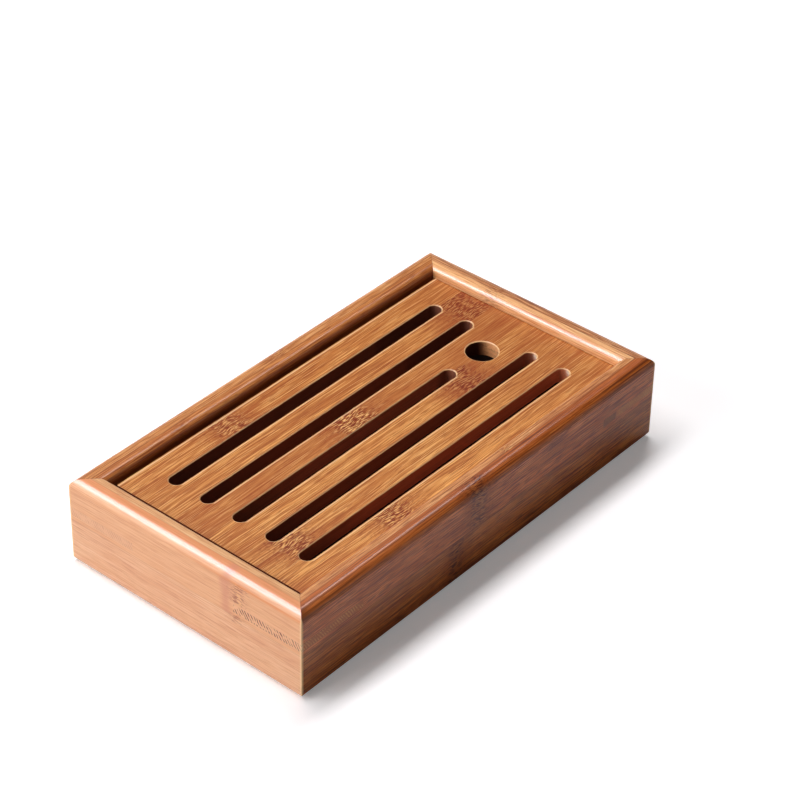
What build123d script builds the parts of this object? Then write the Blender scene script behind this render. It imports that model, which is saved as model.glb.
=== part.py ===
from build123d import *
import os

# Gongfu tea tray: a mitred bamboo box with a slatted deck that lifts out and a drip tray inside.
# Millimetres. Origin at the centre of the footprint on the table, +X along the length, +Z up.

# Box
box_length = 250.0
box_width = 140.0
box_height = 46.6
outer_ply = 7.2
inner_ply = 5.4
wall = outer_ply + inner_ply
rim_round = 4.8
rim_round_inside = 3.3
foot_round = 3.5
corner_ease = 0.5
upper_board_height = 22.0

# Mitre keys, placed by their depth below the rim
key_drop = 15.2
key_thickness = 4.2
key_reach = 39.5

# Bottom panel, in a rebate under the inner boards
panel_thickness = 4.0
panel_recess = 2.0

# Deck
deck_drop = 5.1
deck_thickness = 8.0
deck_gap_left = 3.4
deck_gap_right = 0.4
deck_gap_back = 1.8
deck_gap_front = 0.2
deck_chamfer = 0.4
slot_count = 5
slot_width = 7.1
slot_side_margin = 13.45
slot_margin_left = 16.95
slot_margin_right = 17.35
short_slot_cut = 36.4
finger_hole_diameter = 16.0
finger_hole_inset = 32.5

# Battens under the deck
batten_width = 11.0
batten_height = 5.0
batten_gap = 1.4
batten_chamfer = 1.0

# Ledges inside the long walls
ledge_width = 5.0
ledge_height = 5.0

# Drip tray
tray_rim_gap = 0.9
tray_end_gap = 2.0
tray_top_gap = 1.0
tray_skin = 1.8
tray_flange = 4.0
tray_flange_thickness = 1.6
tray_corner = 14.0
tray_draft = 4.0
tray_floor_round = 2.4
tray_rib_height = 0.8
tray_rib_width = 2.4
tray_rib_count = 7
tray_rib_inset = 12.0

cut_overrun = 2.0

half_length = box_length / 2
half_width = box_width / 2
inner_half_length = half_length - wall
inner_half_width = half_width - wall
board_joint_height = box_height - upper_board_height
key_height = box_height - key_drop - key_thickness
panel_top = panel_recess + panel_thickness

deck_top = box_height - deck_drop
deck_bottom = deck_top - deck_thickness
deck_left = -inner_half_length + deck_gap_left
deck_right = inner_half_length - deck_gap_right
deck_front = -inner_half_width + deck_gap_front
deck_back = inner_half_width - deck_gap_back
deck_middle_y = (deck_front + deck_back) / 2
slot_start = deck_left + slot_margin_left
slot_length = deck_right - slot_margin_right - slot_start
slot_pitch = (deck_back - deck_front - 2 * slot_side_margin - slot_width) / (slot_count - 1)

tray_top = deck_bottom - batten_height - tray_top_gap
tray_length = 2 * (inner_half_length - tray_end_gap)
tray_width = 2 * (inner_half_width - ledge_width - tray_rim_gap)


def plain_box(x_span, y_span, z_span):
    size = (x_span[1] - x_span[0], y_span[1] - y_span[0], z_span[1] - z_span[0])
    corner = (x_span[0], y_span[0], z_span[0])
    return Pos(*corner) * Box(*size, align=(Align.MIN, Align.MIN, Align.MIN))


# Each side of the box: where its outer face starts, the way it runs and the way its thickness goes.
SIDES = {
    "front": ((-half_length, -half_width, 0), (1, 0, 0), (0, 1, 0), box_length),
    "right": ((half_length, -half_width, 0), (0, 1, 0), (-1, 0, 0), box_width),
    "back": ((half_length, half_width, 0), (-1, 0, 0), (0, -1, 0), box_length),
    "left": ((-half_length, half_width, 0), (0, -1, 0), (1, 0, 0), box_width),
}

# Each corner of the box: the way to the inside along X and along Y.
CORNERS = {
    "front_left": (1, 1),
    "front_right": (-1, 1),
    "back_left": (1, -1),
    "back_right": (-1, -1),
}


def wall_section():
    """The wall's cross-section, X across from the outer face and Y up."""
    section = Rectangle(wall, box_height, align=(Align.MIN, Align.MIN))
    top_outer = section.vertices().group_by(Axis.Y)[-1].sort_by(Axis.X)[0]
    section = fillet(top_outer, rim_round)
    top_inner = section.vertices().sort_by(Axis.X).group_by(Axis.X)[-1].sort_by(Axis.Y)[-1]
    section = fillet(top_inner, rim_round_inside)
    foot_corner = section.vertices().sort_by(Axis.X).group_by(Axis.Y)[0].sort_by(Axis.X)[0]
    return fillet(foot_corner, foot_round)


def board_window(across, up):
    """The part of the section that one board takes."""
    window = Rectangle(across[1] - across[0], up[1] - up[0], align=(Align.MIN, Align.MIN))
    return Pos(across[0], up[0]) * window


def eased_prism():
    """The whole footprint with its upright corners eased."""
    plan = RectangleRounded(box_length, box_width, corner_ease)
    return extrude(plan, amount=box_height)


def mitre_prism(origin, run, length):
    """The plan of one side, cut at 45 degrees at both ends."""
    outline = Polyline((0, 0), (length, 0), (length - wall, wall), (wall, wall), close=True)
    plan = Plane(origin=origin, x_dir=run, z_dir=(0, 0, 1)) * make_face(outline)
    return extrude(plan, amount=box_height, dir=(0, 0, 1))


def corner_key(to_inside_x, to_inside_y):
    """A flat key across one mitre, trimmed flush with the inside of the box."""
    reach = key_reach
    inner = key_reach - wall
    points = [(0, 0), (reach, 0), (inner, wall), (wall, wall), (wall, inner), (0, reach)]
    placed = []
    for along, across in points:
        x = to_inside_x * (along - half_length)
        y = to_inside_y * (across - half_width)
        placed.append((x, y))
    plan = make_face(Polyline(*placed, close=True))
    key = extrude(Pos(0, 0, key_height) * plan, amount=key_thickness, dir=(0, 0, 1))
    return key & eased_prism()


def box_boards(keys):
    """Three bonded boards for each wall, notched for the keys."""
    boards = {
        "outer_upper": ((0, outer_ply), (board_joint_height, box_height)),
        "outer_lower": ((0, outer_ply), (0, board_joint_height)),
        "inner": ((outer_ply, wall), (panel_top, box_height)),
    }
    footprint = eased_prism()
    pieces = {}
    for side, (origin, run, across_dir, length) in SIDES.items():
        limits = mitre_prism(origin, run, length) & footprint
        end_view = Plane(origin=origin, x_dir=across_dir, z_dir=run)
        for board, (across, up) in boards.items():
            section = wall_section() & board_window(across, up)
            solid = extrude(end_view * section, amount=length, dir=run) & limits
            for key in keys.values():
                solid = solid - key
            pieces[f"{side}_wall_{board}"] = solid
    return pieces


def bottom_panel():
    x_reach = half_length - outer_ply
    y_reach = half_width - outer_ply
    return plain_box((-x_reach, x_reach), (-y_reach, y_reach), (panel_recess, panel_top))


def ledge(side):
    near = side * inner_half_width
    far = side * (inner_half_width - ledge_width)
    spans = (min(near, far), max(near, far))
    return plain_box(
        (-inner_half_length, inner_half_length), spans, (deck_bottom - ledge_height, deck_bottom)
    )


def slot_row(index):
    """The Y of one slot, counted from the back."""
    return deck_middle_y + slot_pitch * ((slot_count - 1) / 2 - index)


def slotted_deck():
    """The deck as one board, before it is parted into its strips."""
    deck = plain_box((deck_left, deck_right), (deck_front, deck_back), (deck_bottom, deck_top))
    for index in range(slot_count):
        length = slot_length
        if index == slot_count // 2:
            length = slot_length - short_slot_cut
        middle = slot_start + length / 2
        cutter = extrude(SlotOverall(length, slot_width), amount=deck_thickness + 2 * cut_overrun)
        deck = deck - Pos(middle, slot_row(index), deck_bottom - cut_overrun) * cutter
    hole_x = deck_right - finger_hole_inset
    hole = Cylinder(finger_hole_diameter / 2, deck_thickness + 2 * cut_overrun)
    hole_height = (deck_top + deck_bottom) / 2
    deck = deck - Pos(hole_x, slot_row(slot_count // 2), hole_height) * hole
    upper_face = deck.faces().sort_by(Axis.Z)[-1]
    opening_edges = [edge for wire in upper_face.inner_wires() for edge in wire.edges()]
    return chamfer(opening_edges, deck_chamfer)


def deck_strips():
    """The strips from the back to the front, parted on the slots' centre lines."""
    deck = slotted_deck()
    joints = [slot_row(index) for index in range(slot_count)]
    bounds = [deck_back] + joints + [deck_front]
    pieces = {}
    for index in range(slot_count + 1):
        rear = bounds[index]
        near = bounds[index + 1]
        window = plain_box((deck_left, deck_right), (near, rear), (deck_bottom, deck_top))
        pieces[f"deck_strip_{index + 1}"] = deck & window
    return pieces


def deck_batten(end):
    """A cross batten under the solid end of the deck."""
    if end < 0:
        middle = deck_left + slot_margin_left / 2
    else:
        middle = deck_right - slot_margin_right / 2
    reach = inner_half_width - ledge_width - batten_gap
    low = deck_bottom - batten_height
    batten = plain_box(
        (middle - batten_width / 2, middle + batten_width / 2), (-reach, reach), (low, deck_bottom)
    )
    lower_edges = batten.faces().sort_by(Axis.Z)[0].edges()
    return chamfer(lower_edges, batten_chamfer)


def tray_body(shrink, low, floor_corner):
    """A drafted basin that narrows downwards from the rim, shrunk on every side by one amount."""
    mouth = RectangleRounded(
        tray_length - 2 * shrink, tray_width - 2 * shrink, tray_corner - (shrink - tray_flange)
    )
    drop = tray_top - low
    basin = extrude(Pos(0, 0, tray_top) * mouth, amount=drop, dir=(0, 0, -1), taper=tray_draft)
    lower_edges = basin.faces().sort_by(Axis.Z)[0].edges()
    return fillet(lower_edges, floor_corner)


def drip_tray():
    """The moulded tray: drafted walls, a flat flange round the rim and ribs across the floor."""
    floor = panel_top + tray_skin
    outside = tray_body(tray_flange, panel_top, tray_floor_round + tray_skin)
    inside = tray_body(tray_flange + tray_skin, floor, tray_floor_round)
    flange_plan = RectangleRounded(tray_length, tray_width, tray_corner + tray_flange)
    flange_low = tray_top - tray_flange_thickness
    flange = extrude(Pos(0, 0, flange_low) * flange_plan, amount=tray_flange_thickness)
    tray = (outside + flange) - inside
    span = tray_length / 2 - tray_flange - tray_corner - tray_rib_inset
    rib_reach = tray_width / 2 - tray_flange - tray_skin - tray_rib_inset
    for index in range(tray_rib_count):
        middle = span * (2 * index / (tray_rib_count - 1) - 1)
        rib = plain_box(
            (middle - tray_rib_width / 2, middle + tray_rib_width / 2),
            (-rib_reach, rib_reach),
            (floor - tray_skin / 2, floor + tray_rib_height),
        )
        tray = tray + rib
    return tray


def build():
    keys = {name: corner_key(*to_inside) for name, to_inside in CORNERS.items()}
    pieces = box_boards(keys)
    for name, key in keys.items():
        pieces[f"corner_key_{name}"] = key
    pieces["bottom_panel"] = bottom_panel()
    pieces["front_ledge"] = ledge(-1)
    pieces["back_ledge"] = ledge(1)
    pieces.update(deck_strips())
    pieces["deck_batten_left"] = deck_batten(-1)
    pieces["deck_batten_right"] = deck_batten(1)
    pieces["drip_tray"] = drip_tray()
    return pieces


os.makedirs("parts", exist_ok=True)
for name, piece in build().items():
    export_step(piece, f"parts/{name}.step")
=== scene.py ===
import math
from collections import namedtuple

import bpy
from mathutils import Matrix, Vector


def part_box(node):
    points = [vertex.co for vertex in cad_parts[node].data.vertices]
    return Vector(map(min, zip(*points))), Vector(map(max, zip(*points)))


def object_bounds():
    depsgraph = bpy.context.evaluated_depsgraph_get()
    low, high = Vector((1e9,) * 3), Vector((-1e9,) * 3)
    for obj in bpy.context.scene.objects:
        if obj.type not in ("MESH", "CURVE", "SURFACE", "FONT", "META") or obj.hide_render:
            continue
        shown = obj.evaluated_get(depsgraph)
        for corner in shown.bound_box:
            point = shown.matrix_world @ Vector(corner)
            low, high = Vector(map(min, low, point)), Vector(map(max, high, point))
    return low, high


# Gongfu tea tray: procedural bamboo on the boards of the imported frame, a white sweep, two soft
# lights, a strip light for the gloss and the camera. Scene units are metres. The patterns of the
# materials are laid out in millimetres, in the tray's own frame.

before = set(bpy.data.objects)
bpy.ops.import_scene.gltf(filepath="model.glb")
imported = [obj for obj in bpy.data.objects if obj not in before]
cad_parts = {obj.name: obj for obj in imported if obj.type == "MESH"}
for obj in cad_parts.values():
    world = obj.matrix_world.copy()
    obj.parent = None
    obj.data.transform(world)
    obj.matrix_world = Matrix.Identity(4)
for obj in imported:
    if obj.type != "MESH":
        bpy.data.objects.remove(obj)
cad_low, cad_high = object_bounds()

# The deck's strips and slots, counted from the back: strips from 1, slots from 0
slot_count = 5
short_slot = 2
first_strip = 1
last_strip = slot_count + first_strip
hole_strips = (3, 4)

# Sizes read from the frame, in millimetres
MM_PER_M = 1000.0
half_length = cad_high.x * MM_PER_M
half_width = cad_high.y * MM_PER_M
rim_height = cad_high.z * MM_PER_M
deck_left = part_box("deck_strip_1")[0].x * MM_PER_M
deck_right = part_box("deck_strip_1")[1].x * MM_PER_M
deck_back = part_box("deck_strip_1")[1].y * MM_PER_M
deck_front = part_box("deck_strip_6")[0].y * MM_PER_M
deck_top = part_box("deck_strip_1")[1].z * MM_PER_M
slot_rows = [
    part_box(f"deck_strip_{number}")[0].y * MM_PER_M for number in range(first_strip, last_strip)
]
board_joint_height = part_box("front_wall_outer_lower")[1].z * MM_PER_M
inner_board_face = half_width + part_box("front_wall_inner")[0].y * MM_PER_M
key_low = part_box("corner_key_front_left")[0].z * MM_PER_M
key_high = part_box("corner_key_front_left")[1].z * MM_PER_M
key_reach = half_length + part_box("corner_key_front_left")[1].x * MM_PER_M

# Openings of the deck, in millimetres
slot_radius = 3.55
slot_margin_left = 16.95
slot_margin_right = 17.35
short_slot_cut = 36.4
hole_inset = 32.5
hole_radius = 8.0
slot_start = deck_left + slot_margin_left + slot_radius
slot_end = deck_right - slot_margin_right - slot_radius

# Camera, matched to the edges of the tray in the photograph
camera_place = (-0.76648, -0.65574, 0.80762)
camera_azimuth = 50.187
camera_elevation = 36.678
camera_roll = 1.234
camera_lens = 123.907
camera_sensor = 36.0

# Lights: where they stand as seen from the tray, how large they are and how strong
key_direction = (0.12, 0.27, 0.96)
key_distance = 1.3
key_size = (1.7, 0.31)
key_level = 1.02
fill_direction = (-0.88, 0.34, 0.33)
fill_distance = 1.4
fill_size = (1.3, 0.9)
fill_level = 0.80
world_level = 0.035

# A strip light close above the left side, which is seen only in the gloss
strip_place = (-0.213, 0.283, 0.477)
strip_facing = (-0.763, 0.0, 0.645)
strip_size = (0.485, 0.45)
strip_level = 4.7
strip_colour = (0.97, 0.80, 1.0)

# Floor that curves up at its rim, in metres
floor_radius = 5.0
floor_first_ring = 0.25
floor_sides = 96
sweep_radius = 1.4
sweep_height = 1.4
sweep_steps = 12

# The floor's colour as it is seen and as it lights the tray, and how far it is lifted to white for
# the camera: everywhere, and more from white_near to white_far. Gloss sees the backdrop glow.
floor_colour = (0.98, 0.955, 0.97, 1.0)
floor_bounce_colour = (0.65, 0.65, 0.65, 1.0)
floor_lift = 0.22
white_lift = 0.8
white_near = 0.35
white_far = 0.9
backdrop_glow = 0.8
backdrop_near = 0.9
backdrop_far = 1.6

# The curve that turns a colour code into linear light
CODE_FULL = 255
CODE_KNEE = 0.04045
CODE_SLOPE = 12.92
CODE_OFFSET = 0.055
CODE_POWER = 2.4


def srgb(red, green, blue):
    """A colour as the eye reads it, 0 to 255, as the linear colour that the shader wants."""
    values = []
    for code in (red, green, blue):
        value = code / CODE_FULL
        if value <= CODE_KNEE:
            values.append(value / CODE_SLOPE)
        else:
            values.append(((value + CODE_OFFSET) / (1 + CODE_OFFSET)) ** CODE_POWER)
    return (*values, 1.0)


# The colour sockets of a Mix node, which have the same names as its other sockets
MIX_FIRST = 6
MIX_SECOND = 7
MIX_RESULT = 2

# A noise lies about its middle, and its detail says how rough it is
NOISE_MIDDLE = 0.5
NOISE_ROUGHNESS = 0.5
SMOOTH = 0.0
SOFT = 1.0
FINE = 2.0


class Paint:
    """One material and the nodes in it."""

    def __init__(self, name):
        self.material = bpy.data.materials.new(name)
        self.material.use_nodes = True
        self.tree = self.material.node_tree
        self.tree.nodes.clear()

    def node(self, kind, **settings):
        made = self.tree.nodes.new(kind)
        for name, value in settings.items():
            setattr(made, name, value)
        return made

    def feed(self, socket, value):
        """Links an output, or sets a plain number, colour or vector."""
        if isinstance(value, bpy.types.NodeSocket):
            self.tree.links.new(value, socket)
        else:
            socket.default_value = value

    def math(self, operation, first, second=0.0):
        made = self.node("ShaderNodeMath", operation=operation)
        self.feed(made.inputs[0], first)
        self.feed(made.inputs[1], second)
        return made.outputs[0]

    def add(self, first, second):
        return self.math("ADD", first, second)

    def subtract(self, first, second):
        return self.math("SUBTRACT", first, second)

    def times(self, first, second):
        return self.math("MULTIPLY", first, second)

    def magnitude(self, value):
        """The value without its sign."""
        return self.math("ABSOLUTE", value)

    def span(self, first, second):
        """How long a line is that goes first one way and second across it."""
        squares = self.add(self.times(first, first), self.times(second, second))
        return self.math("SQRT", squares)

    def step(self, value, low, high):
        """0 below low, 1 above high and smooth between them. High may be the lower of the two."""
        made = self.node("ShaderNodeMapRange", interpolation_type="SMOOTHSTEP")
        self.feed(made.inputs["Value"], value)
        made.inputs["From Min"].default_value = low
        made.inputs["From Max"].default_value = high
        return made.outputs["Result"]

    def near(self, value, centre, reach):
        """1 where value is at centre, falling smoothly to 0 at reach from it."""
        return self.step(self.magnitude(self.subtract(value, centre)), reach, 0.0)

    def mix(self, share, first, second):
        made = self.node("ShaderNodeMix", data_type="RGBA")
        self.feed(made.inputs["Factor"], share)
        self.feed(made.inputs[MIX_FIRST], first)
        self.feed(made.inputs[MIX_SECOND], second)
        return made.outputs[MIX_RESULT]

    def stain(self, colour, ink, mask, share):
        """The colour with a share of ink over it where mask is 1."""
        return self.mix(self.times(mask, share), colour, ink)

    def vector(self, x, y, z):
        made = self.node("ShaderNodeCombineXYZ")
        for socket, value in zip(made.inputs, (x, y, z)):
            self.feed(socket, value)
        return made.outputs[0]

    def noise(self, place, grain, detail=FINE, roughness=NOISE_ROUGHNESS):
        """A noise whose grains are about as long as grain, in millimetres, along each axis."""
        scaled = self.node("ShaderNodeVectorMath", operation="DIVIDE")
        self.feed(scaled.inputs[0], place)
        scaled.inputs[1].default_value = grain
        made = self.node("ShaderNodeTexNoise", noise_dimensions="3D")
        self.feed(made.inputs["Vector"], scaled.outputs[0])
        made.inputs["Scale"].default_value = 1.0
        made.inputs["Detail"].default_value = detail
        made.inputs["Roughness"].default_value = roughness
        return made.outputs[0]

    def swing(self, noise, reach):
        """A noise as a value about 0."""
        return self.times(self.subtract(noise, NOISE_MIDDLE), reach)

    def place(self):
        """X, Y and Z in the tray's frame, in millimetres."""
        source = self.node("ShaderNodeTexCoord")
        scaled = self.node("ShaderNodeVectorMath", operation="SCALE")
        self.feed(scaled.inputs[0], source.outputs["Object"])
        scaled.inputs["Scale"].default_value = MM_PER_M
        parts = self.node("ShaderNodeSeparateXYZ")
        self.feed(parts.inputs[0], scaled.outputs[0])
        return tuple(parts.outputs)

    def facing(self):
        """X, Y and Z of the way the surface faces."""
        source = self.node("ShaderNodeTexCoord")
        parts = self.node("ShaderNodeSeparateXYZ")
        self.feed(parts.inputs[0], source.outputs["Normal"])
        return tuple(parts.outputs)

    def bump(self, height, depth):
        """A normal for a height of 0 to 1 that stands for depth, in metres."""
        made = self.node("ShaderNodeBump")
        made.inputs["Distance"].default_value = depth
        self.feed(made.inputs["Height"], height)
        return made.outputs[0]

    def output(self, surface):
        made = self.node("ShaderNodeOutputMaterial")
        self.feed(made.inputs["Surface"], surface)
        return self.material

    def finish(self, colour, roughness, normal, **fixed):
        shader = self.node("ShaderNodeBsdfPrincipled")
        self.feed(shader.inputs["Base Color"], colour)
        self.feed(shader.inputs["Roughness"], roughness)
        self.feed(shader.inputs["Normal"], normal)
        for name, value in fixed.items():
            shader.inputs[name.replace("_", " ")].default_value = value
        return self.output(shader.outputs[0])


# Bamboo of each use: the dark and the pale of its streaks, its pores and its brightest fibres
Wood = namedtuple("Wood", "dark pale pore fibre")
DECK_WOOD = Wood(srgb(170, 88, 30), srgb(226, 156, 80), srgb(140, 62, 18), srgb(246, 192, 116))
# The front boards are darker and browner and the left boards paler, partly as painted shade and
# light
FRONT_UPPER_WOOD = Wood(
    srgb(166, 74, 32), srgb(226, 122, 62), srgb(112, 38, 14), srgb(244, 150, 86)
)
# The front's lower board is darker still, as painted shade towards the floor
FRONT_LOWER_WOOD = Wood(
    srgb(146, 62, 20), srgb(206, 116, 54), srgb(94, 30, 8), srgb(226, 142, 72)
)
LEFT_UPPER_WOOD = Wood(
    srgb(222, 155, 112), srgb(240, 184, 140), srgb(196, 124, 88), srgb(248, 202, 162)
)
LEFT_LOWER_WOOD = Wood(
    srgb(222, 156, 116), srgb(242, 190, 148), srgb(194, 122, 92), srgb(248, 206, 168)
)
BACK_WOOD = Wood(srgb(176, 100, 46), srgb(220, 150, 86), srgb(136, 68, 30), srgb(240, 184, 122))
# The back wall's inner board is darker, as painted shade
BACK_INNER_WOOD = Wood(
    srgb(166, 86, 34), srgb(206, 130, 66), srgb(120, 52, 20), srgb(226, 160, 92)
)
RIGHT_WOOD = Wood(srgb(170, 98, 54), srgb(222, 154, 102), srgb(124, 60, 30), srgb(242, 188, 134))
RIGHT_INNER_WOOD = Wood(
    srgb(220, 142, 84), srgb(250, 198, 138), srgb(188, 108, 58), srgb(255, 222, 170)
)
LEFT_INNER_WOOD = Wood(
    srgb(206, 136, 84), srgb(236, 188, 136), srgb(180, 106, 60), srgb(246, 208, 160)
)
FRONT_INNER_WOOD = Wood(
    srgb(176, 98, 46), srgb(226, 158, 98), srgb(128, 60, 24), srgb(244, 190, 130)
)
HIDDEN_WOOD = Wood(
    srgb(172, 100, 56), srgb(216, 150, 100), srgb(130, 66, 34), srgb(232, 176, 124)
)

# Colours of single marks
KNOT_DARK = srgb(122, 42, 8)
KNOT_PALE = srgb(250, 200, 124)
KNOT_RED = srgb(154, 78, 58)
KNOT_DEEP = srgb(74, 24, 10)
KNOT_BROWN = srgb(156, 74, 26)
GLUE = srgb(112, 50, 18)
# A pale colour for painted highlights on eased edges and rounded rims
PAINTED_HIGHLIGHT = srgb(255, 214, 160)
CUT_WOOD = srgb(212, 130, 94)
CUT_WOOD_SHADE = srgb(114, 70, 54)
CUT_WOOD_LIT = srgb(255, 232, 208)
HOLE_SHADE = srgb(60, 28, 20)
HOLE_LIT = srgb(255, 184, 126)
# Dark brown: a stain in the grain of the cut sides, and painted shade inside the back wall
DARK_STAIN_AND_SHADE = srgb(84, 34, 14)
# Dark red: a darker end on one key, and painted shade at the deck's left end
RED_STAIN_AND_SHADE = srgb(96, 30, 14)
RIM_ORANGE = srgb(170, 86, 14)
RIM_LINE = srgb(84, 30, 8)
# Orange: the tone of the left rim's top, and a line of painted shade under the rim
RIM_TONE_AND_SHADE = srgb(218, 126, 62)
PINK_STAIN = srgb(206, 130, 106)
PLASTIC_DARK = srgb(44, 28, 22)
PLASTIC_PALE = srgb(62, 44, 36)

# Grain of bamboo: how long each noise is along, across and into the cane, in millimetres
WANDER_GRAIN = (50.0, 9.0, 9.0)
BROAD_GRAIN = (130.0, 5.0, 5.0)
STREAK_GRAIN = (60.0, 0.95, 0.95)
LINE_GRAIN = (24.0, 0.46, 0.46)
PORE_GRAIN = (7.0, 0.40, 0.40)
wander_swing = 2.4
streak_roughness = 0.6
seed_step = 1.7
seed_along = 37.0
seed_across = 3.1

# The values of a noise at which a mark begins and is full, and the shares of what they make
PALE_FIBRES = (0.47, 0.33)
DARK_LINES = (0.53, 0.66)
PORES = (0.57, 0.67)
broad_share = 0.8
streak_share = 1.2
fibre_share = 0.60
dark_line_share = 0.70
pore_share = 0.50
line_height_share = 0.5
streak_height_share = 0.5


def bamboo_grain(paint, along, across, deep, wood, seed, contrast=1.0):
    """Streaks, fibres and short pores along the cane. Returns the colour and the bump's height."""
    along = paint.add(along, seed * seed_along)
    across = paint.add(across, seed * seed_across)
    deep = paint.add(deep, seed)
    wander = paint.noise(paint.vector(along, across, deep), WANDER_GRAIN, SOFT)
    across = paint.add(across, paint.swing(wander, wander_swing))
    spot = paint.vector(along, across, deep)
    broad = paint.noise(spot, BROAD_GRAIN, SOFT)
    streak = paint.noise(spot, STREAK_GRAIN, FINE, streak_roughness)
    line = paint.noise(spot, LINE_GRAIN, SOFT)
    pore = paint.noise(spot, PORE_GRAIN, SMOOTH)
    tone = paint.add(
        paint.swing(broad, broad_share * contrast), paint.swing(streak, streak_share * contrast)
    )
    paleness = paint.step(paint.add(tone, NOISE_MIDDLE), 0.0, 1.0)
    colour = paint.mix(paleness, wood.dark, wood.pale)
    fibres = paint.step(line, *PALE_FIBRES)
    colour = paint.stain(colour, wood.fibre, fibres, fibre_share * contrast)
    dark_lines = paint.step(line, *DARK_LINES)
    colour = paint.stain(colour, wood.pore, dark_lines, dark_line_share * contrast)
    pores = paint.step(pore, *PORES)
    colour = paint.stain(colour, wood.pore, pores, pore_share * contrast)
    height = paint.add(
        paint.times(line, line_height_share), paint.times(streak, streak_height_share)
    )
    return colour, height


# One joint of the cane across a board: where it is and how far it reaches along the board, how
# strong its dark flecks, its pale flecks and its brown zone are, and how low and how high it goes
whole_face = 200.0
Knot = namedtuple(
    "Knot", "place reach dark pale brown low high", defaults=(-whole_face, whole_face)
)

# A knot's noises, in millimetres along, across and into the board
KNOT_EDGE_GRAIN = (1.0, 3.5, 3.5)
KNOT_CURL_GRAIN = (9.0, 5.0, 5.0)
KNOT_STROKE_GRAIN = (3.4, 0.52, 0.52)
KNOT_FLECK_GRAIN = (2.2, 0.50, 0.50)
knot_edge_swing = 9.0
knot_curl_swing = 3.0
knot_seed_step = 13.0
knot_seed_along = 7.0
knot_fleck_depth = 5.0
knot_window_fade = 1.0

# A knot's core and zone as shares of its reach, and where its noises mark
core_full_share = 0.35
zone_reach_share = 2.2
zone_full_share = 0.4
PALE_STROKES = (0.46, 0.36)
DARK_STROKES = (0.51, 0.60)
DARK_FLECKS = (0.56, 0.66)
fleck_share = 0.7


def knot_marks(paint, along, across, deep, colour, knots, ink, seed):
    """Flecks along the fibres, in a browner zone, where a joint of the cane crosses the board."""
    for index, knot in enumerate(knots):
        shift = seed + index * knot_seed_step
        bend = paint.noise(paint.vector(shift, across, deep), KNOT_EDGE_GRAIN, SOFT)
        bent = paint.add(along, paint.swing(bend, knot_edge_swing))
        away = paint.magnitude(paint.subtract(bent, knot.place))
        core = paint.step(away, knot.reach, knot.reach * core_full_share)
        zone = paint.step(away, knot.reach * zone_reach_share, knot.reach * zone_full_share)
        if knot.high < whole_face:
            window = paint.times(
                paint.step(across, knot.low - knot_window_fade, knot.low + knot_window_fade),
                paint.step(across, knot.high + knot_window_fade, knot.high - knot_window_fade),
            )
            core = paint.times(core, window)
            zone = paint.times(zone, window)
        shifted = paint.add(along, shift * knot_seed_along)
        curl = paint.noise(paint.vector(shifted, across, deep), KNOT_CURL_GRAIN, SMOOTH)
        curled = paint.add(across, paint.swing(curl, knot_curl_swing))
        stroke = paint.noise(paint.vector(shifted, curled, deep), KNOT_STROKE_GRAIN, SMOOTH)
        deeper = paint.add(deep, knot_fleck_depth)
        fleck = paint.noise(paint.vector(shifted, curled, deeper), KNOT_FLECK_GRAIN, SMOOTH)
        colour = paint.stain(colour, KNOT_BROWN, zone, knot.brown)
        pale = paint.times(paint.step(stroke, *PALE_STROKES), core)
        colour = paint.stain(colour, KNOT_PALE, pale, knot.pale)
        dark = paint.times(paint.step(stroke, *DARK_STROKES), core)
        colour = paint.stain(colour, ink, dark, knot.dark)
        spots = paint.times(paint.step(fleck, *DARK_FLECKS), zone)
        colour = paint.stain(colour, ink, spots, knot.dark * fleck_share)
    return colour


# Lacquer: how strong it is on the box, and on the deck and the hidden boards, and its gloss. The
# bump's depth is in metres.
full_coat = 0.4
worn_coat = 0.03
coat_roughness = 0.2
coat_ior = 1.5
wood_specular = 0.15
wood_roughness = 0.42
grain_roughness = 0.12
grain_depth = 0.00003


def lacquered(paint, colour, height, coat=full_coat):
    """Satin clear lacquer over wood."""
    roughness = paint.add(paint.times(height, grain_roughness), wood_roughness)
    normal = paint.bump(height, grain_depth)
    return paint.finish(
        colour,
        roughness,
        normal,
        Specular_IOR_Level=wood_specular,
        Coat_Weight=coat,
        Coat_Roughness=coat_roughness,
        Coat_IOR=coat_ior,
    )


# A painted highlight along the eased upright corners: how far from the outer faces it begins and is
# full
corner_highlight_begins = 1.4
corner_highlight_full = 0.6
corner_highlight_share = 0.6


def paint_corner_highlight(paint, x, y, colour):
    """A highlight is painted pale along the upright corners of the box."""
    past_x = paint.step(paint.magnitude(x), half_length - corner_highlight_begins, half_length - corner_highlight_full)
    past_y = paint.step(paint.magnitude(y), half_width - corner_highlight_begins, half_width - corner_highlight_full)
    return paint.stain(colour, PAINTED_HIGHLIGHT, paint.times(past_x, past_y), corner_highlight_share)


# The front boards: heights are below the rim, and the pale fibres fade out to the right
paler_ends = 70.0
paler_share = 0.12
RIM_ORANGE_DROP = (4.4, 2.6)
RIM_LINE_GRAIN = (70.0, 0.50, 0.50)
RIM_LINES = (0.50, 0.62)
DIRTY_END = (9.0, 2.0)
rim_line_shift = 7.0
rim_orange_share = 0.62
rim_line_share = 0.75
dirty_share = 0.6


def paler_left(paint, x, wood, colour):
    """The front boards get paler towards the left."""
    return paint.stain(colour, wood.fibre, paint.step(x, paler_ends, -half_length), paler_share)


def front_lower(paint, x, y, z, wood, colour):
    return paler_left(paint, x, wood, colour)


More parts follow.
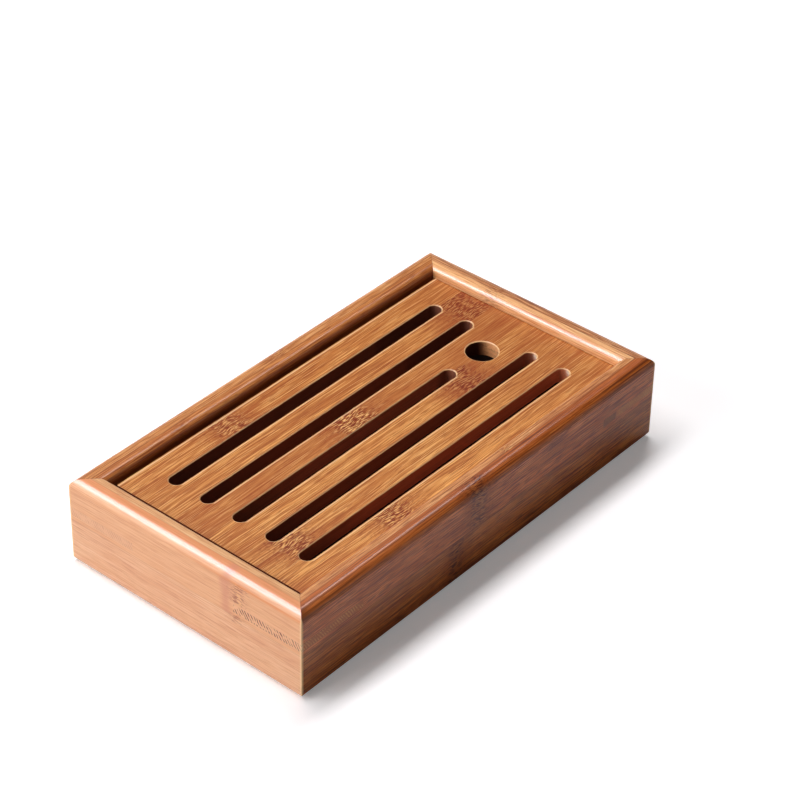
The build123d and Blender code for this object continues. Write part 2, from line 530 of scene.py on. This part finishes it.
def front_upper(paint, x, y, z, wood, colour):
    """The front board's rim is more orange than its face, with thin dark lines along it."""
    begins, full = RIM_ORANGE_DROP
    rim = paint.step(z, rim_height - begins, rim_height - full)
    colour = paint.stain(colour, RIM_ORANGE, rim, rim_orange_share)
    beside = paint.vector(x, paint.add(y, rim_line_shift), z)
    line = paint.noise(beside, RIM_LINE_GRAIN, SOFT)
    lines = paint.times(paint.step(line, *RIM_LINES), rim)
    colour = paint.stain(colour, RIM_LINE, lines, rim_line_share)
    begins, full = DIRTY_END
    dirty = paint.times(paint.step(x, begins - half_length, full - half_length), rim)
    colour = paint.stain(colour, RIM_LINE, dirty, dirty_share)
    return paler_left(paint, x, wood, colour)


# The left board: its orange line of painted shade and its top by their heights below the rim, and
# the pink band
shade_line_drop = 3.2
shade_line_reach = 1.2
SHADE_LINE_ALONG = (20.0, -40.0)
GLOW_TOP_DROP = (1.0, 0.2)
PINK_GRAIN = (9.0, 9.0, 3.0)
PINK_HEIGHT = (20.0, 23.0)
pink_place = -26.0
pink_reach = 5.0
pink_swing = 5.0
shade_line_share = 0.6
glow_top_share = 0.55
pink_share = 0.5


def left_upper(paint, x, y, z, wood, colour):
    """Painted shade as an orange line under the left board's rim, and a soft pink band beside its
    knot.
    """
    # Painted shade: an orange line under the rounding, where it reflects less light
    line = paint.near(z, rim_height - shade_line_drop, shade_line_reach)
    line = paint.times(line, paint.step(y, *SHADE_LINE_ALONG))
    colour = paint.stain(colour, RIM_TONE_AND_SHADE, line, shade_line_share)
    begins, full = GLOW_TOP_DROP
    flat_top = paint.step(z, rim_height - begins, rim_height - full)
    colour = paint.stain(colour, RIM_TONE_AND_SHADE, flat_top, glow_top_share)
    wavy = paint.noise(paint.vector(0.0, y, z), PINK_GRAIN, SOFT)
    across = paint.add(y, paint.swing(wavy, pink_swing))
    band = paint.times(paint.near(across, pink_place, pink_reach), paint.step(z, *PINK_HEIGHT))
    return paint.stain(colour, PINK_STAIN, band, pink_share)


# The inner boards: heights are below the rim
BACK_SHADE_DROP = (0.9, 1.9)
back_shade_share = 0.50
INNER_HIGHLIGHT_DROP = (0.4, 1.6)
inner_highlight_depth = 3.0
inner_highlight_share = 0.7


def back_inside_shade(paint, x, z, colour):
    """Painted shade darkens the back wall's inner face below its rim."""
    begins, full = BACK_SHADE_DROP
    upper = paint.step(z, rim_height - begins, rim_height - full)
    lower = paint.step(z, rim_height - full, deck_top)
    colour = paint.stain(colour, DARK_STAIN_AND_SHADE, upper, back_shade_share)
    return paint.stain(colour, DARK_STAIN_AND_SHADE, lower, back_shade_share)


def inner_rim_highlight(paint, x, z, colour):
    """A painted highlight makes the left wall paler inside the box."""
    begins, full = INNER_HIGHLIGHT_DROP
    below = paint.step(z, rim_height - begins, rim_height - full)
    inner_face = inner_board_face - half_length
    inwards = paint.step(x, inner_face, inner_face + inner_highlight_depth)
    return paint.stain(colour, PAINTED_HIGHLIGHT, paint.times(below, inwards), inner_highlight_share)


# How a board looks: its bamboo, how strong its streaks and its glue lines are, the colour of its
# knots, what is painted under the knots and over everything, and its lacquer
Board = namedtuple(
    "Board", "wood contrast glue_share ink under over coat", defaults=(None, None, full_coat)
)
glue_reach = 0.40
seam_reach = 0.35
seam_share = 0.45


def board_bamboo(name, run, board, seed, knots=(), glue_at=()):
    """One board: its cane runs along X or Y, and its face is across Z, with its glue lines."""
    paint = Paint(name)
    x, y, z = paint.place()
    along, deep = (x, y) if run == "x" else (y, x)
    colour, height = bamboo_grain(paint, along, z, deep, board.wood, seed, board.contrast)
    if board.under:
        colour = board.under(paint, x, y, z, board.wood, colour)
    colour = knot_marks(paint, along, z, deep, colour, knots, board.ink, seed)
    for axis, value in glue_at:
        away = {"x": x, "y": y, "z": z}[axis]
        line = paint.near(paint.magnitude(away), value, glue_reach)
        colour = paint.stain(colour, GLUE, line, board.glue_share)
    mitre = paint.subtract(paint.magnitude(x), paint.magnitude(y))
    seam = paint.near(mitre, half_length - half_width, seam_reach)
    colour = paint.stain(colour, GLUE, seam, seam_share)
    colour = paint_corner_highlight(paint, x, y, colour)
    if board.over:
        colour = board.over(paint, x, z, colour)
    return lacquered(paint, colour, height, board.coat)


def slot_distance(paint, x, y, index):
    """How far a place is outside one slot of the deck, and how far past the slot's straight run."""
    end = slot_end
    if index == short_slot:
        end -= short_slot_cut
    from_middle = paint.magnitude(paint.subtract(x, (slot_start + end) / 2))
    past = paint.math("MAXIMUM", paint.subtract(from_middle, (end - slot_start) / 2), 0.0)
    off = paint.subtract(y, slot_rows[index])
    return paint.subtract(paint.span(past, off), slot_radius), past


def hole_distance(paint, x, y):
    """How far a place on the deck is from the middle of the finger hole."""
    from_x = paint.subtract(x, deck_right - hole_inset)
    from_y = paint.subtract(y, slot_rows[short_slot])
    return paint.span(from_x, from_y)


# The sides of the slots and the hole, with painted shade. Painted light shows where a side faces
# the left rear, near the top, at the right ends of the front rows, and on the hole's sides. Each
# pair is where a value begins to count and is full.
LEFT_REAR = (-0.6, 0.8)
LIT_FACING = (0.30, 0.90)
LIT_DROP = (4.5, 1.5)
LIT_BLOTCH_GRAIN = (2.2, 1.6, 0.4)
LIT_BLOTCHES = (0.2, 0.6)
lit_before_end = 3.0
FRONT_ROWS_PAST = (3.0, 7.0)
SHADED_END = (75.0, 20.0)
dark_end_reach = 6.0
shaded_end_share = 0.6
HOLE_EDGE = (1.0, 0.5)
HOLE_FACING = (-0.30, 0.55)
HOLE_BLOTCHES = (-0.1, 0.6)
CUT_GRAIN = (0.42, 0.62)
cut_grain_share = 0.20

# How shaded the sides of each strip are
CUT_SHADES = (0.60, 0.80, 0.0, 0.65, 0.05, 0.0)


def cut_wood(paint, x, y, z, height, number):
    """Sides of the slots and the hole: dark as painted shade, with painted light at some ends and
    in the hole.
    """
    face_x, face_y, _ = paint.facing()
    to_left, to_rear = LEFT_REAR
    towards = paint.add(paint.times(face_x, to_left), paint.times(face_y, to_rear))
    begins, full = LIT_DROP
    shallow = paint.step(z, deck_top - begins, deck_top - full)
    at_right = paint.step(x, slot_end - lit_before_end, slot_end)
    begins, full = FRONT_ROWS_PAST
    middle_edge = slot_rows[short_slot] - slot_radius
    in_front_rows = paint.step(y, middle_edge - begins, middle_edge - full)
    blotch = paint.noise(paint.vector(x, z, height), LIT_BLOTCH_GRAIN, SOFT)
    # Painted light on the sides that face the left rear, near the top of the right ends
    lit_end = paint.times(paint.step(towards, *LIT_FACING), shallow)
    lit_end = paint.times(paint.times(lit_end, at_right), in_front_rows)
    lit_end = paint.times(lit_end, paint.step(blotch, *LIT_BLOTCHES))
    begins, full = SHADED_END
    shaded = paint.step(x, deck_left + begins, deck_left + full)
    colour = paint.stain(CUT_WOOD, CUT_WOOD_SHADE, shaded, shaded_end_share)
    colour = paint.mix(CUT_SHADES[number - first_strip], colour, CUT_WOOD_SHADE)
    short_end = slot_end - short_slot_cut
    at_dark_end = paint.step(x, short_end - dark_end_reach, short_end)
    at_dark_end = paint.times(at_dark_end, paint.subtract(1.0, in_front_rows))
    colour = paint.stain(colour, CUT_WOOD_SHADE, at_dark_end, shaded_end_share)
    colour = paint.mix(lit_end, colour, CUT_WOOD_LIT)
    # Painted light and shade on the hole's sides, by the way they face
    if number in hole_strips:
        begins, full = HOLE_EDGE
        reach = hole_distance(paint, x, y)
        in_hole = paint.step(reach, hole_radius + begins, hole_radius + full)
        lit = paint.times(
            paint.step(towards, *HOLE_FACING), paint.step(blotch, *HOLE_BLOTCHES)
        )
        colour = paint.mix(in_hole, colour, paint.mix(lit, HOLE_SHADE, HOLE_LIT))
    return paint.stain(colour, DARK_STAIN_AND_SHADE, paint.step(height, *CUT_GRAIN), cut_grain_share)


# The painted highlights along a strip's eased edges: how far the middle of each is from the opening
# or from the deck's side, and its reach, in millimetres. Rear is towards the back wall and front is
# the other way.
DECK_REAR_EDGE = (0.85, 0.7)
DECK_FRONT_EDGE = (0.2, 0.5)
SLOT_REAR_EDGE = (0.95, 0.55)
SLOT_ROUND_EDGE = (0.25, 0.60)
SLOT_FRONT_EDGE = (0.20, 0.40)
HOLE_RIM = (0.25, 0.45)
ROUND_PAST = (0.2, 2.0)
front_highlight_share = 0.7
edge_highlight_share = 0.75

# The deck's left end, dark red as painted shade in the gap, and its right part, browner and painted
# darker
shaded_left_reach = 0.30
shaded_left_share = 0.9
browned_shaded_reach = 80.0
browned_shaded_share = 0.34

# Where the sides of the openings begin, below the deck's top, and how they are told from the
# deck's own sides and from its underside
CUT_DROP = (0.35, 0.55)
IN_LENGTH = (0.005, 0.02)
IN_WIDTH = (0.01, 0.04)
UPRIGHT = (-0.8, -0.4)


def edge_highlights(paint, x, y, number):
    """1 along the eased edges of one strip, where a highlight is painted."""
    if number == first_strip:
        middle, reach = DECK_REAR_EDGE
        rear = paint.near(y, deck_back - middle, reach)
    else:
        slot_behind = number - first_strip - 1
        distance, past = slot_distance(paint, x, y, slot_behind)
        straight = paint.near(distance, *SLOT_REAR_EDGE)
        rounded = paint.near(distance, *SLOT_ROUND_EDGE)
        rear = paint.mix(paint.step(past, *ROUND_PAST), straight, rounded)
    if number == last_strip:
        middle, reach = DECK_FRONT_EDGE
        front = paint.near(y, deck_front + middle, reach)
    else:
        slot_before = number - first_strip
        distance, _ = slot_distance(paint, x, y, slot_before)
        front = paint.times(paint.near(distance, *SLOT_FRONT_EDGE), front_highlight_share)
    pale = paint.math("MAXIMUM", rear, front)
    if number in hole_strips:
        distance = hole_distance(paint, x, y)
        middle, reach = HOLE_RIM
        rim = paint.near(distance, hole_radius + middle, reach)
        pale = paint.math("MAXIMUM", pale, rim)
    return pale


def inside_openings(paint, x, y, z):
    """1 on the upright sides of the deck's openings."""
    begins, full = CUT_DROP
    below = paint.step(z, deck_top - begins, deck_top - full)
    in_length = paint.near(x, (deck_left + deck_right) / 2, (deck_right - deck_left) / 2)
    in_width = paint.near(y, (deck_front + deck_back) / 2, (deck_back - deck_front) / 2)
    _, _, face_z = paint.facing()
    upright = paint.step(face_z, *UPRIGHT)
    inside = paint.times(paint.step(in_length, *IN_LENGTH), paint.step(in_width, *IN_WIDTH))
    return paint.times(paint.times(inside, upright), below)


def deck_bamboo(name, number, seed, knots, redness):
    """A deck strip with painted highlights on its eased edges, and painted shade in the gap at the
    left.
    """
    paint = Paint(name)
    x, y, z = paint.place()
    colour, height = bamboo_grain(paint, x, y, z, DECK_WOOD, seed)
    colour = paint.mix(redness, colour, KNOT_BROWN)
    # Darker and browner towards the right end: partly the wood's tone, partly painted shade
    browned_and_shaded = paint.step(x, deck_right - browned_shaded_reach, deck_right)
    colour = paint.stain(colour, KNOT_BROWN, browned_and_shaded, browned_shaded_share)
    colour = knot_marks(paint, x, y, z, colour, knots, KNOT_DARK, seed)
    # Painted highlights along the strip's eased edges
    colour = paint.stain(colour, PAINTED_HIGHLIGHT, edge_highlights(paint, x, y, number), edge_highlight_share)
    # Painted shade: the deck's left end, in the gap by the wall, is dark red
    shaded_left_edge = paint.step(x, deck_left + shaded_left_reach, deck_left)
    colour = paint.stain(colour, RED_STAIN_AND_SHADE, shaded_left_edge, shaded_left_share)
    inside = inside_openings(paint, x, y, z)
    colour = paint.mix(inside, colour, cut_wood(paint, x, y, z, height, number))
    return lacquered(paint, colour, height, worn_coat)


# How the cut end of a key looks: its ground, its ticks, their share, their pitch and their lean
KeyFace = namedtuple("KeyFace", "ground ink share pitch lean")

# The keys' noises, in millimetres along the faces, between the keys and up
KEY_DRIFT_GRAIN = (4.0, 1.0, 4.0)
KEY_BREAK_GRAIN = (5.0, 1.0, 2.4)
KEY_BREAKS = (0.34, 0.60)
KEY_TICKS = (-0.1, 0.7)
key_seed_across = 5.0
key_drift_swing = 7.0

# Where a key's end face gives way to its long face, where its dark end begins and is full, from the
# tip, and how wide its glued edges are
END_FACE = (1.4, 0.6)
DARK_END = (10.5, 9.0)
key_edge = 0.5
dark_end_share = 0.60
key_edge_share = 0.12


def key_bamboo(name, key, seed):
    """A mitre key: its cane runs across the corner, so its cut ends show as slanting ticks."""
    paint = Paint(name)
    x, y, z = paint.place()
    along_x = paint.add(paint.times(x, key.to_inside_x), half_length)
    along_y = paint.add(paint.times(y, key.to_inside_y), half_width)
    from_corner = paint.add(along_x, along_y)
    spot = paint.vector(from_corner, seed * key_seed_across, z)
    drift = paint.noise(spot, KEY_DRIFT_GRAIN, SOFT)
    broken = paint.noise(spot, KEY_BREAK_GRAIN, SOFT)
    colours = []
    for face in (key.end_face, key.long_face):
        slanted = paint.add(from_corner, paint.times(z, face.lean))
        turns = paint.add(
            paint.times(slanted, 2 * math.pi / face.pitch), paint.swing(drift, key_drift_swing)
        )
        tick = paint.step(paint.math("SINE", turns), *KEY_TICKS)
        ticks = paint.times(tick, paint.step(broken, *KEY_BREAKS))
        colours.append(paint.stain(face.ground, face.ink, ticks, face.share))
    end_colour, long_colour = colours
    on_end_face = paint.step(along_x, *END_FACE)
    colour = paint.mix(on_end_face, long_colour, end_colour)
    if key.dark_end:
        begins, full = DARK_END
        nearer = paint.step(from_corner, key_reach - begins, key_reach - full)
        nearer = paint.times(nearer, paint.subtract(1.0, on_end_face))
        colour = paint.stain(colour, RED_STAIN_AND_SHADE, nearer, dark_end_share)
    half_height = (key_high - key_low) / 2
    from_middle = paint.magnitude(paint.subtract(z, (key_low + key_high) / 2))
    edge = paint.step(from_middle, half_height - key_edge, half_height)
    colour = paint.stain(colour, GLUE, edge, key_edge_share)
    colour = paint_corner_highlight(paint, x, y, colour)
    return lacquered(paint, colour, broken)


# Moulded plastic: its noises in millimetres, and the bump's depth in metres
GRIT_GRAIN = (0.35, 0.35, 0.35)
CLOUD_GRAIN = (30.0, 30.0, 30.0)
grit_depth = 0.00004
grit_roughness = 0.15
plastic_roughness = 0.38
plastic_specular = 0.12


def moulded_plastic(name):
    """Dark brown moulded plastic with a fine spark texture."""
    paint = Paint(name)
    spot = paint.vector(*paint.place())
    grit = paint.noise(spot, GRIT_GRAIN)
    cloud = paint.noise(spot, CLOUD_GRAIN)
    colour = paint.mix(cloud, PLASTIC_DARK, PLASTIC_PALE)
    roughness = paint.add(paint.times(grit, grit_roughness), plastic_roughness)
    normal = paint.bump(grit, grit_depth)
    return paint.finish(colour, roughness, normal, Specular_IOR_Level=plastic_specular)


def dress(node, material):
    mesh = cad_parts[node].data
    mesh.materials.clear()
    mesh.materials.append(material)


# The walls' boards and their knots
WALLS = {
    "front_wall_outer_upper": Board(FRONT_UPPER_WOOD, 1.3, 0.5, KNOT_DEEP, under=front_upper),
    "front_wall_outer_lower": Board(FRONT_LOWER_WOOD, 1.15, 0.5, KNOT_DEEP, under=front_lower),
    "front_wall_inner": Board(FRONT_INNER_WOOD, 0.9, 0.4, KNOT_DARK),
    "right_wall_outer_upper": Board(RIGHT_WOOD, 1.1, 0.4, KNOT_DARK),
    "right_wall_outer_lower": Board(RIGHT_WOOD, 1.0, 0.4, KNOT_DARK),
    "right_wall_inner": Board(RIGHT_INNER_WOOD, 0.8, 0.3, KNOT_DARK),
    "back_wall_outer_upper": Board(BACK_WOOD, 0.9, 0.4, KNOT_DARK),
    "back_wall_outer_lower": Board(BACK_WOOD, 1.0, 0.4, KNOT_DARK),
    "back_wall_inner": Board(BACK_INNER_WOOD, 0.8, 0.4, KNOT_DARK, over=back_inside_shade),
    "left_wall_outer_upper": Board(LEFT_UPPER_WOOD, 0.45, 0.15, KNOT_RED, under=left_upper),
    "left_wall_outer_lower": Board(LEFT_LOWER_WOOD, 0.60, 0.15, KNOT_RED),
    "left_wall_inner": Board(LEFT_INNER_WOOD, 0.6, 0.15, KNOT_RED, over=inner_rim_highlight),
}
WALL_KNOTS = {
    "front_wall_outer_upper": [Knot(-7.0, 8.0, 0.80, 0.10, 0.60)],
    "front_wall_outer_lower": [Knot(-22.0, 6.0, 0.85, 0.05, 0.60)],
    "front_wall_inner": [Knot(22.0, 4.0, 0.40, 0.50, 0.05)],
    "right_wall_outer_upper": [Knot(22.0, 6.0, 0.50, 0.20, 0.15)],
    "right_wall_outer_lower": [Knot(-18.0, 7.0, 0.60, 0.30, 0.20)],
    "right_wall_inner": [Knot(21.0, 5.0, 0.45, 0.10, 0.10)],
    "back_wall_outer_upper": [Knot(7.0, 7.0, 0.50, 0.30, 0.20)],
    "back_wall_outer_lower": [Knot(52.0, 8.0, 0.60, 0.30, 0.20)],
    "back_wall_inner": [Knot(-64.0, 5.0, 0.30, 0.10, 0.10)],
    "left_wall_outer_upper": [
        Knot(-33.0, 4.2, 0.70, 0.20, 0.05, 32.5, 43.0),
        Knot(-33.0, 3.5, 0.60, 0.15, 0.05, 19.0, 26.5),
    ],
    "left_wall_outer_lower": [Knot(-32.0, 3.5, 0.55, 0.15, 0.05, 21.5, 30.0)],
    "left_wall_inner": [Knot(44.0, 4.0, 0.20, 0.10, 0.05)],
}

# The deck's strips from the back to the front, and how much redder each is
DECK_KNOTS = {
    "deck_strip_1": [Knot(-43.0, 12.0, 0.85, 0.45, 0.45)],
    "deck_strip_2": [Knot(102.0, 14.0, 0.90, 0.25, 0.80)],
    "deck_strip_3": [Knot(-3.0, 14.0, 1.0, 0.80, 0.60)],
    "deck_strip_4": [Knot(56.0, 12.0, 0.95, 0.25, 0.80)],
    "deck_strip_5": [Knot(-86.0, 11.0, 0.90, 0.45, 0.30)],
    "deck_strip_6": [Knot(-42.0, 12.0, 1.0, 0.50, 0.35)],
}
DECK_REDNESS = (0.10, 0.12, 0.34, 0.0, 0.08, 0.0)

# The keys, each with the way to the inside of the box along X and Y
Key = namedtuple("Key", "to_inside_x to_inside_y end_face long_face dark_end")
# The keys' faces on the left are paler and on the front browner, partly as painted light and shade
LEFT_KEY_FACE = KeyFace(srgb(234, 176, 134), srgb(96, 30, 14), 0.95, 1.7, -0.6)
FAINT_KEY_FACE = KeyFace(srgb(230, 172, 132), srgb(180, 112, 84), 0.45, 1.5, 0.6)
FRONT_KEY_FACE = KeyFace(srgb(186, 98, 48), srgb(240, 178, 100), 0.50, 1.5, 0.6)
PLAIN_KEY_FACE = KeyFace(srgb(208, 142, 92), srgb(140, 72, 36), 0.60, 2.0, 0.3)
KEYS = {
    "corner_key_front_left": Key(1, 1, LEFT_KEY_FACE, FRONT_KEY_FACE, False),
    "corner_key_front_right": Key(-1, 1, PLAIN_KEY_FACE, FRONT_KEY_FACE, True),
    "corner_key_back_left": Key(1, -1, FAINT_KEY_FACE, PLAIN_KEY_FACE, False),
    "corner_key_back_right": Key(-1, -1, PLAIN_KEY_FACE, PLAIN_KEY_FACE, False),
}

# The boards that the deck hides, each with the axis its cane runs along
HIDDEN_BOARD = Board(HIDDEN_WOOD, 1.0, 0.5, KNOT_DARK, coat=worn_coat)
HIDDEN_RUNS = {
    "bottom_panel": "x",
    "front_ledge": "x",
    "back_ledge": "x",
    "deck_batten_left": "y",
    "deck_batten_right": "y",
}

seed = 1.0
for node, board in WALLS.items():
    if node.startswith(("front", "back")):
        run, across, half = "x", "y", half_width
    else:
        run, across, half = "y", "x", half_length
    glue_at = [(across, half - inner_board_face)]
    if not node.endswith("inner"):
        glue_at.append(("z", board_joint_height))
    dress(node, board_bamboo(f"bamboo_{node}", run, board, seed, WALL_KNOTS[node], glue_at))
    seed += seed_step

for number, (node, knots) in enumerate(DECK_KNOTS.items(), start=first_strip):
    redness = DECK_REDNESS[number - first_strip]
    dress(node, deck_bamboo(f"bamboo_{node}", number, seed, knots, redness))
    seed += seed_step

for node, key in KEYS.items():
    dress(node, key_bamboo(f"bamboo_{node}", key, seed))
    seed += seed_step

for node, run in HIDDEN_RUNS.items():
    dress(node, board_bamboo(f"bamboo_{node}", run, HIDDEN_BOARD, seed))
    seed += seed_step

dress("drip_tray", moulded_plastic("tray_plastic"))


# Floor
def sweep_profile():
    """How far out and how high each ring of the floor is, after its middle."""
    flat = floor_radius - sweep_radius
    profile = [(floor_radius * floor_first_ring, 0.0), (flat, 0.0)]
    for index in range(1, sweep_steps + 1):
        turn = math.pi / 2 * index / sweep_steps
        out = flat + sweep_radius * math.sin(turn)
        up = sweep_height * (1 - math.cos(turn))
        profile.append((out, up))
    return profile


def sweep_mesh():
    """A round floor that curves up at its rim, turned about Z."""
    points = [(0.0, 0.0, 0.0)]
    faces = []
    rings = sweep_profile()
    for out, up in rings:
        for index in range(floor_sides):
            turn = 2 * math.pi * index / floor_sides
            points.append((out * math.cos(turn), out * math.sin(turn), up))
    for index in range(floor_sides):
        after = (index + 1) % floor_sides
        faces.append((0, 1 + index, 1 + after))
        for ring in range(len(rings) - 1):
            low = 1 + ring * floor_sides
            high = low + floor_sides
            faces.append((low + index, high + index, high + after, low + after))
    mesh = bpy.data.meshes.new("studio_floor")
    mesh.from_pydata(points, [], faces)
    for polygon in mesh.polygons:
        polygon.use_smooth = True
    return mesh


def floor_material():
    """Matt white. The camera sees it lifted to a clean white, and gloss sees its far part glow."""
    paint = Paint("studio_floor")
    light_path = paint.node("ShaderNodeLightPath")
    direct = paint.math(
        "MAXIMUM", light_path.outputs["Is Camera Ray"], light_path.outputs["Is Transmission Ray"]
    )
    seen = paint.math("MAXIMUM", direct, light_path.outputs["Is Glossy Ray"])
    x, y, _ = paint.place()
    reach = paint.span(x, y)
    far = paint.step(reach, backdrop_near * MM_PER_M, backdrop_far * MM_PER_M)
    diffuse = paint.node("ShaderNodeBsdfDiffuse")
    paint.feed(diffuse.inputs["Color"], paint.mix(seen, floor_bounce_colour, floor_colour))
    glow = paint.node("ShaderNodeEmission")
    glossy = paint.subtract(seen, direct)
    white = paint.step(reach, white_near * MM_PER_M, white_far * MM_PER_M)
    seen_lift = paint.add(paint.times(white, white_lift), floor_lift)
    lift = paint.add(
        paint.times(direct, seen_lift), paint.times(paint.times(glossy, far), backdrop_glow)
    )
    paint.feed(glow.inputs["Strength"], lift)
    both = paint.node("ShaderNodeAddShader")
    paint.feed(both.inputs[0], diffuse.outputs[0])
    paint.feed(both.inputs[1], glow.outputs[0])
    return paint.output(both.outputs[0])


floor_data = sweep_mesh()
floor_data.materials.append(floor_material())
floor = bpy.data.objects.new("studio_floor", floor_data)
bpy.context.scene.collection.objects.link(floor)


# Light
def soft_light(name, place, facing, size, level):
    """A rectangular soft box. Level is what it adds to a white face at the origin turned to it."""
    data = bpy.data.lights.new(name, "AREA")
    data.shape = "RECTANGLE"
    data.size, data.size_y = size
    data.energy = level * (math.pi * Vector(place).length) ** 2
    light = bpy.data.objects.new(name, data)
    facing = Vector(facing).normalized()
    long_side = Vector((0, 1, 0)).cross(facing).normalized()
    short_side = facing.cross(long_side)
    turn = Matrix((long_side, short_side, facing)).transposed().to_4x4()
    light.matrix_world = Matrix.Translation(place) @ turn
    bpy.context.scene.collection.objects.link(light)
    return light


def far_light(name, direction, distance, size, level):
    """A soft box aimed at the tray."""
    place = Vector(direction).normalized() * distance
    return soft_light(name, place, direction, size, level)


far_light("key_light", key_direction, key_distance, key_size, key_level)
far_light("fill_light", fill_direction, fill_distance, fill_size, fill_level)
strip = soft_light("strip_light", strip_place, strip_facing, strip_size, strip_level)
strip.data.color = strip_colour
strip.visible_diffuse = False

world = bpy.data.worlds.new("studio")
world.use_nodes = True
background = world.node_tree.nodes["Background"]
background.inputs["Color"].default_value = (1.0, 1.0, 1.0, 1.0)
background.inputs["Strength"].default_value = world_level
bpy.context.scene.world = world
bpy.context.scene.view_settings.view_transform = "Standard"

# Camera
camera_data = bpy.data.cameras.new("camera")
camera_data.lens = camera_lens
camera_data.sensor_width = camera_sensor
camera = bpy.data.objects.new("camera", camera_data)
turn = Matrix.Rotation(math.radians(-camera_azimuth), 4, "Z")
tilt = Matrix.Rotation(math.radians(90 - camera_elevation), 4, "X")
roll = Matrix.Rotation(math.radians(camera_roll), 4, "Z")
camera.matrix_world = Matrix.Translation(camera_place) @ turn @ tilt @ roll
bpy.context.scene.collection.objects.link(camera)
bpy.context.scene.camera = camera
